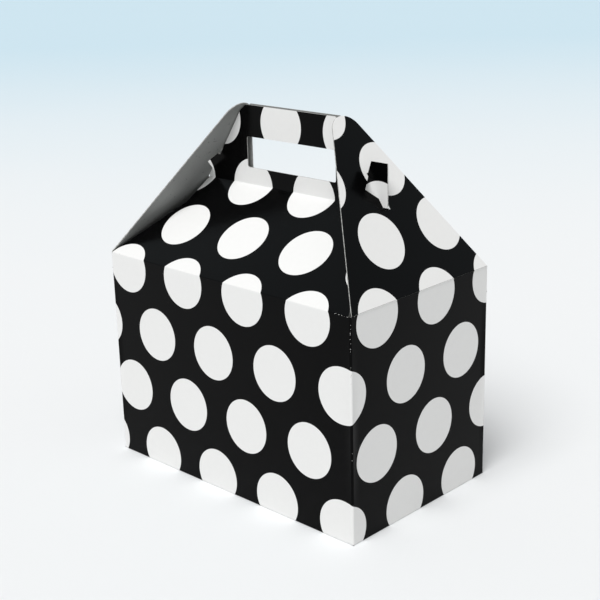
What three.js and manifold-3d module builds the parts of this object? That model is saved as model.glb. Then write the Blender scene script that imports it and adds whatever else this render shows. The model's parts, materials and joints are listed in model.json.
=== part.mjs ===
// Gable box: a carry carton folded from one sheet of coated board, drawn closed and locked.
// Millimetres, +Z up. The origin is the centre of the underside, the length runs along X, and
// the front wall faces -Y. The two end flaps are hinged along the tops of the end walls.

import * as THREE from 'three';
import { mergeVertices } from 'three/addons/utils/BufferGeometryUtils.js';
import Module from 'manifold-3d';

const wasm = await Module();
wasm.setup();

// Driving dimensions: the walls
const LENGTH = 200;
const WIDTH = 122;
const WALL_HEIGHT = 134;
const BOARD = 0.6;
const CORNER_RADIUS = 1.2;
const CREASE_RADIUS = 0.9;
const CLEARANCE = 0.4;

// Driving dimensions: the roof and the two handle panels that stand on it
const ROOF_RISE = 41.5;
const HANDLE_HEIGHT = 48.8;
const HANDLE_GAP = 3.4;
const HANDLE_OFFSET = 1.8;
const HANDLE_SETBACK = 1;
const HANDLE_CHAMFER_DROP = 3.8;
const HANDLE_CHAMFER_RUN = 4.9;
const ROOF_SHOULDER_RISE = 28;
const ROOF_SHOULDER_INSET = 27;
const ROOF_SETBACK = 0.6;

// Driving dimensions: the hand hole, above the crease between roof and handle
const HAND_HOLE_LENGTH = 72.6;
const HAND_HOLE_HEIGHT = 19;
const HAND_HOLE_LIFT = 10.5;
const HAND_HOLE_RADIUS = 3;

// Driving dimensions: the hooked ears at the handle's ends
const EAR_INSET = 25.1;
const EAR_LIFT = 1.2;
const EAR_TOP_LIFT = 26.5;
const HOOK_WIDTH = 11.9;
const NOTCH_DEPTH = 8;
const NOTCH_WIDTH = 1.4;
const BACK_EAR_SHORTENING = 5;

// Driving dimensions: the end flaps
const FLAP_LENGTH = 109;
const FLAP_TIP_RADIUS = 12;
const FLAP_LEAN = THREE.MathUtils.degToRad(33.5);
const HINGE_STANDOFF = 0.3;
const WINDOW_DEPTH = 7;
const WINDOW_CENTRE = 64;

// Driving dimensions: the snap-lock bottom and the glued seam
const BOTTOM_LAP = 0.05;
const BOTTOM_FLAP_INSET = 1.5;
const BOTTOM_FLAP_OVERLAP = 12;
const BOTTOM_SHOULDER = 30;
const SIDE_FLAP_LENGTH = 56;
const SIDE_FLAP_TAPER = 10;
const TONGUE_WIDTH = 64;
const TONGUE_LENGTH = 20;
const TONGUE_RAMP = 6;
const TONGUE_SIDE_GAP = 4;
const SEAM_WIDTH = 16;
const SEAM_INSET = 6;

// Places that follow from the driving dimensions
const halfLength = LENGTH / 2;
const halfWidth = WIDTH / 2;
const creaseHeight = WALL_HEIGHT + ROOF_RISE;
const topHeight = creaseHeight + HANDLE_HEIGHT;
const handleHalfDepth = HANDLE_GAP / 2 + BOARD;
const handleFront = HANDLE_OFFSET - handleHalfDepth;
const handleBack = HANDLE_OFFSET + handleHalfDepth;
const hingeX = halfLength + HINGE_STANDOFF;
const earBottom = creaseHeight + EAR_LIFT;
const earTop = creaseHeight + EAR_TOP_LIFT;
const earReach = halfLength - EAR_INSET;

/** Distance from the middle to a closed flap's inner face at a height. */
function flapInnerX(height) {
  const rise = height - WALL_HEIGHT;
  return hingeX - rise * Math.tan(FLAP_LEAN) - BOARD / Math.cos(FLAP_LEAN);
}

/** Turns a three.js geometry into a solid that can be joined and cut. */
function toSolid(geometry) {
  const bare = geometry.clone();
  bare.deleteAttribute('normal');
  bare.deleteAttribute('uv');
  const merged = mergeVertices(bare, 1e-5);
  return new wasm.Manifold(new wasm.Mesh({
    numProp: 3,
    vertProperties: new Float32Array(merged.attributes.position.array),
    triVerts: new Uint32Array(merged.index.array),
  }));
}

/** Turns a joined solid back into a three.js geometry. */
function toGeometry(solid) {
  const mesh = solid.getMesh();
  const geometry = new THREE.BufferGeometry();
  geometry.setAttribute('position', new THREE.BufferAttribute(new Float32Array(mesh.vertProperties), 3));
  geometry.setIndex(new THREE.BufferAttribute(new Uint32Array(mesh.triVerts), 1));
  geometry.computeVertexNormals();
  return geometry;
}

/** Extrudes a shape along +Z from one height to another. */
function upright(shape, bottom, top, curveSegments = 6) {
  const settings = { depth: top - bottom, bevelEnabled: false, curveSegments };
  const geometry = new THREE.ExtrudeGeometry(shape, settings);
  geometry.translate(0, 0, bottom);
  return geometry;
}

/** Extrudes a shape drawn in Y and Z along X, from -half to half. */
function alongX(shape, half) {
  const geometry = new THREE.ExtrudeGeometry(shape, { depth: 2 * half, bevelEnabled: false });
  geometry.translate(0, 0, -half);
  geometry.applyMatrix4(new THREE.Matrix4().makeBasis(
    new THREE.Vector3(0, 1, 0), new THREE.Vector3(0, 0, 1), new THREE.Vector3(1, 0, 0)));
  return geometry;
}

/** Extrudes a shape drawn in X and Z along Y, between two depths. */
function alongY(shape, front, back, curveSegments = 6) {
  const settings = { depth: back - front, bevelEnabled: false, curveSegments };
  const geometry = new THREE.ExtrudeGeometry(shape, settings);
  geometry.rotateX(Math.PI / 2);
  geometry.translate(0, back, 0);
  return geometry;
}

/** A rectangle with rounded corners, centred on the origin. */
function roundedRectangle(width, height, radius) {
  const x = width / 2;
  const y = height / 2;
  const shape = new THREE.Shape();
  shape.moveTo(-x + radius, -y);
  shape.lineTo(x - radius, -y);
  shape.absarc(x - radius, -y + radius, radius, -Math.PI / 2, 0);
  shape.lineTo(x, y - radius);
  shape.absarc(x - radius, y - radius, radius, 0, Math.PI / 2);
  shape.lineTo(-x + radius, y);
  shape.absarc(-x + radius, y - radius, radius, Math.PI / 2, Math.PI);
  shape.lineTo(-x, -y + radius);
  shape.absarc(-x + radius, -y + radius, radius, Math.PI, 1.5 * Math.PI);
  return shape;
}

/** A polyline whose inner corners are rounded, as points in order. */
function creasedLine(corners, radius, steps = 4) {
  const points = [corners[0]];
  for (let i = 1; i < corners.length - 1; i++) {
    const before = corners[i - 1].clone().sub(corners[i]).normalize();
    const after = corners[i + 1].clone().sub(corners[i]).normalize();
    const halfAngle = before.angleTo(after) / 2;
    const reach = radius / Math.tan(halfAngle);
    const start = corners[i].clone().addScaledVector(before, reach);
    const end = corners[i].clone().addScaledVector(after, reach);
    const bend = new THREE.QuadraticBezierCurve(start, corners[i], end);
    points.push(...bend.getPoints(steps));
  }
  points.push(corners[corners.length - 1]);
  return points;
}

/** The section of a board sheet that follows a line, with the board on the line's left side. */
function boardSection(line, thickness) {
  const left = line.map((point, i) => {
    const from = line[Math.max(i - 1, 0)];
    const to = line[Math.min(i + 1, line.length - 1)];
    const run = to.clone().sub(from).normalize();
    return new THREE.Vector2(point.x - run.y * thickness, point.y + run.x * thickness);
  });
  return new THREE.Shape([...line, ...left.reverse()]);
}

/** Half the roof and handle outline seen from the front, mirrored about the middle. */
function sheetOutline(ear) {
  const slantTop = topHeight - HANDLE_CHAMFER_DROP;
  const edgeX = (height) => flapInnerX(height) - HANDLE_SETBACK;
  const notchBottom = ear.top - NOTCH_DEPTH;
  const notchX = edgeX(notchBottom);
  const roofTopX = flapInnerX(creaseHeight) - ROOF_SETBACK;
  const right = [
    [halfLength - CORNER_RADIUS, WALL_HEIGHT - 2 * CORNER_RADIUS],
    [halfLength - CORNER_RADIUS, WALL_HEIGHT],
    [halfLength - ROOF_SHOULDER_INSET, WALL_HEIGHT + ROOF_SHOULDER_RISE],
    [roofTopX, creaseHeight],
    [roofTopX, ear.bottom],
    [ear.reach, ear.bottom],
    [ear.reach, ear.top],
    [ear.reach - HOOK_WIDTH + ear.shortening, ear.top],
    [notchX + NOTCH_WIDTH, notchBottom],
    [notchX, notchBottom],
    [edgeX(slantTop), slantTop],
    [edgeX(slantTop) - HANDLE_CHAMFER_RUN, topHeight],
  ];
  const left = right.map(([x, z]) => [-x, z]).reverse();
  const points = [...right, ...left].map(([x, z]) => new THREE.Vector2(x, z));
  return new THREE.Shape(points);
}

/** The hand hole's outline seen from the front. */
function handHole() {
  const outline = roundedRectangle(HAND_HOLE_LENGTH, HAND_HOLE_HEIGHT, HAND_HOLE_RADIUS);
  const middle = creaseHeight + HAND_HOLE_LIFT + HAND_HOLE_HEIGHT / 2;
  const points = outline.getPoints(5).map((point) => new THREE.Vector2(point.x, point.y + middle));
  return new THREE.Shape(points);
}

/** One roof panel with the handle panel above it; side is -1 at the front and 1 at the back. */
function roofSheet(side) {
  const handleY = side < 0 ? handleFront : handleBack;
  const corners = [
    new THREE.Vector2(side * halfWidth, WALL_HEIGHT - 4 * CORNER_RADIUS),
    new THREE.Vector2(side * halfWidth, WALL_HEIGHT),
    new THREE.Vector2(handleY, creaseHeight),
    new THREE.Vector2(handleY, topHeight),
  ];
  const line = creasedLine(corners, CREASE_RADIUS);
  if (side < 0) {
    line.reverse();
  }
  const shortening = side < 0 ? 0 : BACK_EAR_SHORTENING;
  const ear = {
    bottom: earBottom,
    top: earTop - shortening / 2,
    reach: earReach - shortening,
    shortening,
  };
  const reach = halfWidth + CORNER_RADIUS;
  const sheet = toSolid(alongX(boardSection(line, BOARD), halfLength));
  const outline = toSolid(alongY(sheetOutline(ear), -reach, reach));
  const hole = toSolid(alongY(handHole(), -reach, reach));
  return sheet.intersect(outline).subtract(hole);
}

/** The four walls, as one tube with folded corners. */
function wallTube() {
  const shape = roundedRectangle(LENGTH, WIDTH, CORNER_RADIUS);
  const inner = roundedRectangle(LENGTH - 2 * BOARD, WIDTH - 2 * BOARD, CORNER_RADIUS - BOARD);
  shape.holes.push(new THREE.Path(inner.getPoints(3)));
  return toSolid(upright(shape, 0, WALL_HEIGHT - CLEARANCE - CREASE_RADIUS, 3));
}

/** A flat bottom flap from its outline; layer 0 is the lowest. */
function bottomLayer(points, layer) {
  const bottom = layer * (BOARD - BOTTOM_LAP);
  const shape = new THREE.Shape(points.map(([x, y]) => new THREE.Vector2(x, y)));
  return toSolid(upright(shape, bottom, bottom + BOARD));
}

/** The front bottom flap and its tongue, which ends on top of the back flap. */
function frontBottomFlap() {
  const x = halfLength - BOTTOM_FLAP_INSET;
  const shoulderX = x - BOTTOM_SHOULDER / 2;
  const tongueX = TONGUE_WIDTH / 2;
  const flap = bottomLayer([
    [-x, -halfWidth], [x, -halfWidth], [x, -BOTTOM_SHOULDER], [shoulderX, 0],
    [shoulderX, BOTTOM_FLAP_OVERLAP], [-shoulderX, BOTTOM_FLAP_OVERLAP], [-shoulderX, 0],
    [-x, -BOTTOM_SHOULDER],
  ], 0);
  const lift = 3 * (BOARD - BOTTOM_LAP);
  const start = BOTTOM_FLAP_OVERLAP - BOARD;
  const rampEnd = start + TONGUE_RAMP;
  const line = [
    new THREE.Vector2(start, 0), new THREE.Vector2(rampEnd, lift),
    new THREE.Vector2(rampEnd + TONGUE_LENGTH, lift),
  ];
  return flap.add(toSolid(alongX(boardSection(line, BOARD), tongueX)));
}

/** The back bottom flap, with the cut-out that the tongue passes through. */
function backBottomFlap() {
  const x = halfLength - BOTTOM_FLAP_INSET;
  const shoulderX = x - BOTTOM_SHOULDER / 2;
  const cutX = TONGUE_WIDTH / 2 + TONGUE_SIDE_GAP;
  const cutEnd = BOTTOM_FLAP_OVERLAP + TONGUE_RAMP - BOARD;
  return bottomLayer([
    [x, halfWidth], [-x, halfWidth], [-x, BOTTOM_SHOULDER], [-shoulderX, 0],
    [-shoulderX, -BOTTOM_FLAP_OVERLAP], [-cutX, -BOTTOM_FLAP_OVERLAP], [-cutX, cutEnd],
    [cutX, cutEnd], [cutX, -BOTTOM_FLAP_OVERLAP], [shoulderX, -BOTTOM_FLAP_OVERLAP],
    [shoulderX, 0], [x, BOTTOM_SHOULDER],
  ], 2);
}

/** One of the two short bottom flaps; side is -1 on the left and 1 on the right. */
function sideBottomFlap(side) {
  const y = halfWidth - BOTTOM_FLAP_INSET;
  const tipX = halfLength - SIDE_FLAP_LENGTH;
  const points = [
    [halfLength, -y], [halfLength, y], [tipX, y - SIDE_FLAP_TAPER], [tipX, SIDE_FLAP_TAPER - y],
  ].map(([x, flapY]) => [side * x, flapY]);
  if (side < 0) {
    points.reverse();
  }
  return bottomLayer(points, 1);
}

/** The glued seam: a strip of the left wall stuck inside the back wall. */
function gluedSeam() {
  const right = -halfLength + BOARD + SEAM_WIDTH;
  const shape = new THREE.Shape([
    new THREE.Vector2(-halfLength + BOARD / 2, SEAM_INSET),
    new THREE.Vector2(right, 2 * SEAM_INSET),
    new THREE.Vector2(right, WALL_HEIGHT - 2 * SEAM_INSET),
    new THREE.Vector2(-halfLength + BOARD / 2, WALL_HEIGHT - SEAM_INSET),
  ]);
  const back = halfWidth - BOARD / 2;
  return toSolid(alongY(shape, back - 1.5 * BOARD, back));
}

/** The folded carton: walls, bottom, seam, roof and handle, all one sheet of board. */
function cartonBody() {
  const parts = [
    wallTube(), frontBottomFlap(), backBottomFlap(), sideBottomFlap(-1), sideBottomFlap(1),
    gluedSeam(), roofSheet(-1), roofSheet(1),
  ];
  return toGeometry(parts.reduce((whole, piece) => whole.add(piece)));
}

/** The end flap's outline: across the box in X, and along the flap from its hinge in Y. */
function flapOutline() {
  const baseX = halfWidth - BOARD - CLEARANCE;
  const tipCentre = FLAP_LENGTH - FLAP_TIP_RADIUS;
  const run = tipCentre - CLEARANCE;
  const sideAngle = Math.atan2(baseX, run) - Math.asin(FLAP_TIP_RADIUS / Math.hypot(baseX, run));
  const shape = new THREE.Shape();
  shape.moveTo(-baseX, CLEARANCE);
  shape.lineTo(baseX, CLEARANCE);
  shape.absarc(0, tipCentre, FLAP_TIP_RADIUS, sideAngle, Math.PI - sideAngle);
  return shape;
}

/** The slot that the ears pass through, with its pointed window on the front side. */
function flapSlot() {
  const hookX = earReach - HOOK_WIDTH;
  const slotBottom = Math.hypot(hingeX - earReach, earBottom - WALL_HEIGHT) - CLEARANCE;
  const slotTop = Math.hypot(hingeX - hookX, earTop - WALL_HEIGHT) + CLEARANCE;
  const front = handleFront - CLEARANCE;
  const back = handleBack + CLEARANCE;
  return new THREE.Path([
    new THREE.Vector2(front, slotBottom),
    new THREE.Vector2(front, WINDOW_CENTRE - WINDOW_DEPTH),
    new THREE.Vector2(front - WINDOW_DEPTH, WINDOW_CENTRE),
    new THREE.Vector2(front, WINDOW_CENTRE + WINDOW_DEPTH),
    new THREE.Vector2(front, slotTop),
    new THREE.Vector2(back, slotTop),
    new THREE.Vector2(back, slotBottom),
  ]);
}

/** An end flap lying in its own plane: hinge line on the origin, outer face on X = 0. */
function endFlap(side) {
  const outline = flapOutline();
  outline.holes.push(flapSlot());
  const geometry = new THREE.ExtrudeGeometry(outline, {
    depth: BOARD, bevelEnabled: false, curveSegments: 16,
  });
  geometry.applyMatrix4(new THREE.Matrix4().makeBasis(
    new THREE.Vector3(0, 1, 0), new THREE.Vector3(0, 0, 1), new THREE.Vector3(1, 0, 0)));
  geometry.translate(side > 0 ? -BOARD : 0, 0, 0);
  return geometry;
}

const printedBoard = new THREE.MeshStandardMaterial({ color: 0x0d0d0e, roughness: 0.32, metalness: 0 });
const flapBoard = new THREE.MeshStandardMaterial({ color: 0x151516, roughness: 0.32, metalness: 0 });

/** A named mesh with its geometry and material. */
function namedMesh(name, geometry, material) {
  const mesh = new THREE.Mesh(geometry, material);
  mesh.name = name;
  return mesh;
}

const carton = new THREE.Group();
carton.add(namedMesh('carton_body', cartonBody(), printedBoard));

for (const [name, side] of [['left_end_flap', -1], ['right_end_flap', 1]]) {
  const hinge = new THREE.Group();
  hinge.position.set(side * hingeX, 0, WALL_HEIGHT);
  hinge.rotation.y = -side * FLAP_LEAN;
  hinge.add(namedMesh(name, endFlap(side), flapBoard));
  carton.add(hinge);
}

export default carton;
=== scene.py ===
"""Dresses the gable box: printed board, grey inside, raw edges, folds and a small studio.

The board is drawn flat as one die-cut sheet, cut out in the sheet's own coordinates and then folded
up, so that the printed dots run over every fold as they do on the real sheet. Metres, +Z up, front
wall towards -Y.
"""

import json
import logging
import math
from dataclasses import dataclass
from enum import Enum
from typing import Callable, Iterator, Sequence

import bpy
from mathutils import Matrix, Vector
from mathutils.geometry import delaunay_2d_cdt


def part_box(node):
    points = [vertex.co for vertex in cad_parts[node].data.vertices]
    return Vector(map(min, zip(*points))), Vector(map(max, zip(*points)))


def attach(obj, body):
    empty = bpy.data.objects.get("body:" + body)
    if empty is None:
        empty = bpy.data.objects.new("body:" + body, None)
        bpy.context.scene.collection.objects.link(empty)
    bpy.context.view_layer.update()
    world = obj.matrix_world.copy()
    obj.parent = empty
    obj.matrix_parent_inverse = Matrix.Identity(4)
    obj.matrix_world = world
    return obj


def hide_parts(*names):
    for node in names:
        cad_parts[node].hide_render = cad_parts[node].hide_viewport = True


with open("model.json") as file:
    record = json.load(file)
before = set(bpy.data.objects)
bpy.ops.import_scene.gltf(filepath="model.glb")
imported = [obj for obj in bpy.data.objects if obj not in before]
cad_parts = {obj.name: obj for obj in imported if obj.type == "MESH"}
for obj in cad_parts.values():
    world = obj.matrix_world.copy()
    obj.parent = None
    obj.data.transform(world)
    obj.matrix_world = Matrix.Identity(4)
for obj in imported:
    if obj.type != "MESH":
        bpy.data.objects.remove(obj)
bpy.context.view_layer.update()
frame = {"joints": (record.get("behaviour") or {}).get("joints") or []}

MM = 0.001
LOG = logging.getLogger("gable_box")

Point2 = tuple[float, float]
Triple = tuple[float, float, float]
Colour = tuple[float, float, float, float]


class Wall(Enum):
    """The four walls. A wall's value counts the quarter turns about +Z from the front wall."""

    FRONT = 0
    RIGHT = 1
    BACK = 2
    LEFT = 3

    @property
    def is_end(self) -> bool:
        """True for the two end walls, which carry the end flaps."""
        return self in (Wall.LEFT, Wall.RIGHT)


class Side(Enum):
    """The two ends of the box. An end's value is the sign of its x."""

    LEFT = -1
    RIGHT = 1


class Face(Enum):
    """The material slots of a piece of board, in the order in which the mesh holds them."""

    PRINT = 0
    INSIDE = 1
    EDGE = 2


@dataclass(frozen=True)
class BoxSizes:
    """Sizes of the folded box in metres.

    The first five come from the frame, and the next ones are the board's own sizes, as in the
    model. Those from hole_radius on are only here: they are finer than the model's shapes, or
    follow the photograph more closely.
    """

    length: float
    width: float
    wall_height: float
    top_height: float
    hinge_x: float
    board: float = 0.6 * MM
    corner_radius: float = 1.2 * MM
    crease_radius: float = 0.9 * MM
    clearance: float = 0.4 * MM
    roof_rise: float = 41.5 * MM
    handle_gap: float = 3.4 * MM
    handle_offset: float = 1.8 * MM
    handle_setback: float = 1.0 * MM
    chamfer_drop: float = 3.8 * MM
    chamfer_run: float = 4.9 * MM
    roof_shoulder_rise: float = 28.0 * MM
    roof_shoulder_inset: float = 27.0 * MM
    roof_setback: float = 0.6 * MM
    hole_length: float = 72.6 * MM
    hole_height: float = 19.0 * MM
    hole_lift: float = 10.5 * MM
    ear_inset: float = 25.1 * MM
    ear_lift: float = 1.2 * MM
    ear_top_lift: float = 26.5 * MM
    hook_width: float = 11.9 * MM
    notch_depth: float = 8.0 * MM
    notch_width: float = 1.4 * MM
    back_ear_shortening: float = 5.0 * MM
    flap_length: float = 109.0 * MM
    flap_tip_radius: float = 12.0 * MM
    flap_lean: float = math.radians(33.5)
    window_depth: float = 7.0 * MM
    window_centre: float = 64.0 * MM
    bottom_lap: float = 0.05 * MM
    bottom_inset: float = 1.5 * MM
    bottom_overlap: float = 12.0 * MM
    bottom_shoulder: float = 30.0 * MM
    side_flap_length: float = 56.0 * MM
    side_flap_taper: float = 10.0 * MM
    tongue_width: float = 64.0 * MM
    tongue_length: float = 20.0 * MM
    tongue_ramp: float = 6.0 * MM
    tongue_side_gap: float = 4.0 * MM
    seam_width: float = 16.0 * MM
    seam_inset: float = 6.0 * MM
    hole_radius: float = 1.4 * MM
    back_hole_drop: float = 1.6 * MM
    left_ear_drop: float = 3.2 * MM
    slot_head: float = 73.0 * MM
    seam_edge: float = 0.3 * MM
    hinge_gap: float = 0.05 * MM
    bow: float = 0.25 * MM
    crease_bead: float = 0.17 * MM

    @classmethod
    def from_frame(cls) -> "BoxSizes":
        """Reads the overall sizes and the hinge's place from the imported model.

        Returns:
            The box's sizes.
        """
        low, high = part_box("carton_body")
        hinge = next(j for j in frame["joints"] if j["name"] == "right_flap_fold")
        return cls(
            length=high[0] - low[0],
            width=high[1] - low[1],
            wall_height=hinge["pos_m"][2],
            top_height=high[2],
            hinge_x=hinge["pos_m"][0],
        )

    @property
    def crease_height(self) -> float:
        """Height of the fold between roof and handle."""
        return self.wall_height + self.roof_rise

    def handle_y(self, wall: Wall) -> float:
        """Outer face of a handle panel in the row frame."""
        depth = self.handle_gap / 2 + self.board
        return self.handle_offset + (depth if wall is Wall.BACK else -depth)

    def flap_inner_x(self, height: float) -> float:
        """Distance from the middle to a closed flap's inner face at a height."""
        rise = height - self.wall_height
        return self.hinge_x - rise * math.tan(self.flap_lean) - self.board / math.cos(self.flap_lean)


# Node trees written as expressions


def math_method(operation: str, turned: bool = False) -> Callable[..., "Socket"]:
    """Makes a method that adds one Math node on a socket and any other value.

    Args:
        operation: The Math node's operation.
        turned: True for a reflected operator, where the socket is the second value.

    Returns:
        The method.
    """

    def method(self: "Socket", *others: "Socket | float") -> "Socket":
        """Adds the Math node on the socket and the other value, where there is one."""
        values = (*others, self) if turned else (self, *others)
        return self.graph.add("ShaderNodeMath", {"operation": operation}, dict(enumerate(values)))

    return method


class Socket:
    """An output socket of a node tree. An expression on sockets adds its Math nodes."""

    __add__ = __radd__ = math_method("ADD")
    __sub__ = math_method("SUBTRACT")
    __rsub__ = math_method("SUBTRACT", turned=True)
    __mul__ = __rmul__ = math_method("MULTIPLY")
    __truediv__ = math_method("DIVIDE")
    __rtruediv__ = math_method("DIVIDE", turned=True)
    fract = math_method("FRACT")
    sqrt = math_method("SQRT")
    sign = math_method("SIGN")
    least = math_method("MINIMUM")

    def __init__(self, graph: "Graph", link: bpy.types.NodeSocket) -> None:
        """Wraps a socket.

        Args:
            graph: The tree that the socket belongs to.
            link: The output socket itself.
        """
        self.graph = graph
        self.link = link

    def step(self, low: float, high: float) -> "Socket":
        """A smooth step from 0 below low to 1 above high.

        Args:
            low: Where the step starts.
            high: Where it ends.

        Returns:
            The stepped value.
        """
        settings = {"interpolation_type": "SMOOTHSTEP"}
        inputs = {"Value": self, "From Min": low, "From Max": high, "To Min": 0.0, "To Max": 1.0}
        return self.graph.add("ShaderNodeMapRange", settings, inputs, "Result")


class Graph:
    """A node tree built by calls, for materials, shapes and the world."""

    def __init__(self, tree: bpy.types.NodeTree) -> None:
        """Empties a tree and starts on it.

        Args:
            tree: The tree to fill.
        """
        self.tree = tree
        self.tree.nodes.clear()

    def add(
        self,
        kind: str,
        settings: dict[str, object] | None = None,
        inputs: dict[str | int, object] | None = None,
        output: str | int = 0,
    ) -> Socket:
        """Adds a node of any type.

        Args:
            kind: The node's type name.
            settings: Properties to set first.
            inputs: Values or sockets for the node's inputs, by name or number.
            output: The output to return, by name or number.

        Returns:
            The chosen output, wrapped.
        """
        node = self.tree.nodes.new(kind)
        for key, value in (settings or {}).items():
            setattr(node, key, value)
        for key, value in (inputs or {}).items():
            if isinstance(value, Socket):
                self.tree.links.new(value.link, node.inputs[key])
            else:
                node.inputs[key].default_value = value
        return Socket(self, node.outputs[output])

    def again(self, socket: Socket, output: str) -> Socket:
        """Another output of the node that a socket belongs to."""
        return Socket(self, socket.link.node.outputs[output])

    def axes(self, vector: Socket) -> list[Socket]:
        """Splits a vector into its x, y and z."""
        first = self.add("ShaderNodeSeparateXYZ", None, {"Vector": vector})
        return [self.again(first, axis) for axis in "XYZ"]

    def close(self, kind: str, name: str, result: Socket) -> None:
        """Ends the tree in an output node.

        Args:
            kind: The output node's type name.
            name: The name of its input.
            result: What goes into it.
        """
        node = self.tree.nodes.new(kind)
        self.tree.links.new(result.link, node.inputs[name])


@dataclass(frozen=True)
class Grain:
    """A noise pattern: its cells a metre, its octaves and how strong the finer octaves are."""

    scale: float
    detail: float = 2.0
    rough: float = 0.5


class MaterialGraph(Graph):
    """A material's tree."""

    def __init__(self, name: str) -> None:
        """Makes an empty node material.

        Args:
            name: The material's name.
        """
        self.material = bpy.data.materials.new(name)
        self.material.use_nodes = True
        super().__init__(self.material.node_tree)

    def coordinates(self, output: str = "Object") -> Socket:
        """The piece's own coordinates: Object, or UV for the flat sheet."""
        return self.add("ShaderNodeTexCoord", None, None, output)

    def noise(self, vector: Socket, grain: Grain) -> Socket:
        """Noise between 0 and 1.

        Args:
            vector: Where the noise is read.
            grain: The pattern.

        Returns:
            The noise value.
        """
        inputs = {
            "Vector": vector, "Scale": grain.scale, "Detail": grain.detail, "Roughness": grain.rough}
        return self.add("ShaderNodeTexNoise", None, inputs, "Fac")

    def mix(self, factor: Socket, first: object, second: object) -> Socket:
        """Mixes two colours.

        Args:
            factor: 0 for the first and 1 for the second.
            first: A colour or a socket.
            second: A colour or a socket.

        Returns:
            The mixed colour.
        """
        # The Mix node has inputs of each kind under the same names, so colours go by number.
        return self.add("ShaderNodeMix", {"data_type": "RGBA"}, {0: factor, 6: first, 7: second}, 2)

    def bump(self, height: Socket, depth: float, strength: float) -> Socket:
        """Relief on the surface.

        Args:
            height: The height, between 0 and 1.
            depth: How deep a height of 1 is.
            strength: The share of it that shows.

        Returns:
            The bumped normal.
        """
        inputs = {"Height": height, "Distance": depth, "Strength": strength}
        return self.add("ShaderNodeBump", None, inputs)

    def finish(self, inputs: dict[str, object]) -> bpy.types.Material:
        """Ends the tree in a Principled BSDF.

        Args:
            inputs: The shader's inputs by name.

        Returns:
            The finished material.
        """
        shader = self.add("ShaderNodeBsdfPrincipled", None, inputs)
        self.close("ShaderNodeOutputMaterial", "Surface", shader)
        return self.material


# Finishes


def shaded(colour: Colour, factor: float) -> Colour:
    """A colour times a number, with its alpha kept."""
    return tuple(min(1.0, part * factor) for part in colour[:3]) + (colour[3],)


@dataclass(frozen=True)
class DottedPrint:
    """Gloss laminated print: large white dots on black, in the sheet's own coordinates.

    The dots stand in two grids, shifted against each other. Around corner_place the print is
    stretched a little along and up the sheet, and the columns lean by the skew.
    """

    black: Colour = (0.0014, 0.0014, 0.0015, 1.0)
    black_shades: tuple[float, float] = (0.85, 1.15)
    white: Colour = (0.80, 0.80, 0.79, 1.0)
    white_shade: float = 0.985
    column_pitch: float = 50.8 * MM
    row_pitch: float = 39.6 * MM
    first_column: float = 40.4 * MM
    odd_column: float = 15.9 * MM
    first_row: float = 8.7 * MM
    dot_radius: float = 16.7 * MM
    corner_place: float = 200.0 * MM
    corner_stretch: tuple[float, float] = (2.8 * MM, 0.5 * MM)
    stretch_reach: float = 18.0 * MM
    skew: float = 0.010
    skew_row: float = 100.0 * MM
    edge_softness: float = 0.06 * MM
    edge_wander: float = 0.10 * MM
    edge_grain: Grain = Grain(900.0)
    mottle: Grain = Grain(260.0, 4.0, 0.6)
    mottle_range: tuple[float, float] = (0.2, 0.8)
    cloud: Grain = Grain(22.0)
    fibre: Grain = Grain(1500.0, 3.0, 0.6)
    fibre_share: float = 0.02
    wave: Grain = Grain(34.0)
    wave_share: float = 0.8
    relief_depth: float = 0.10 * MM
    relief_strength: float = 0.6
    roughness: float = 0.20
    mottle_roughness: float = 0.10
    dot_roughness: float = 0.05
    specular: float = 0.055

    def _nearest(self, u: Socket, v: Socket, column: float, row: float) -> Socket:
        """Distance to the nearest dot centre of one of the two grids.

        Args:
            u: Place along the sheet.
            v: Place up the sheet.
            column: A dot's place along the sheet.
            row: The same dot's place up the sheet.

        Returns:
            The distance in metres.
        """
        pitch_v = 2 * self.row_pitch
        du = (((u - column) / self.column_pitch + 0.5).fract() - 0.5) * self.column_pitch
        dv = (((v - row) / pitch_v + 0.5).fract() - 0.5) * pitch_v
        return (du * du + dv * dv).sqrt()

    def _dots(self, graph: MaterialGraph, sheet: Socket) -> Socket:
        """The dots' mask.

        Args:
            graph: The material's tree.
            sheet: The sheet's coordinates.

        Returns:
            1 on a dot and 0 between the dots.
        """
        along, up, _ = graph.axes(sheet)
        reach = self.stretch_reach
        past = along.step(self.corner_place - reach, self.corner_place + reach)
        u = along - past * self.corner_stretch[0] - (up - self.skew_row) * self.skew
        v = up - past * self.corner_stretch[1]
        even = self._nearest(u, v, self.first_column, self.first_row)
        odd = self._nearest(u, v, self.odd_column, self.first_row + self.row_pitch)
        wander = (graph.noise(sheet, self.edge_grain) - 0.5) * self.edge_wander
        distance = even.least(odd) + wander
        soft = self.edge_softness
        return 1 - distance.step(self.dot_radius - soft, self.dot_radius + soft)

    def material(self) -> bpy.types.Material:
        """Builds the printed board's material.

        Returns:
            The material.
        """
        graph = MaterialGraph("dotted_print")
        sheet = graph.coordinates("UV")
        dot = self._dots(graph, sheet)
        mottle = graph.noise(sheet, self.mottle)
        dull = shaded(self.white, self.white_shade)
        white = graph.mix(mottle.step(*self.mottle_range), dull, self.white)
        deep, soft = (shaded(self.black, shade) for shade in self.black_shades)
        black = graph.mix(graph.noise(sheet, self.cloud), deep, soft)
        fibre = graph.noise(sheet, self.fibre)
        wave = graph.noise(sheet, self.wave)
        relief = wave * self.wave_share + fibre * self.fibre_share
        uneven = self.roughness + (mottle - 0.5) * self.mottle_roughness + dot * self.dot_roughness
        return graph.finish({
            "Base Color": graph.mix(dot, black, white),
            "Roughness": uneven,
            "Specular IOR Level": self.specular,
            "Normal": graph.bump(relief, self.relief_depth, self.relief_strength),
        })


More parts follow.
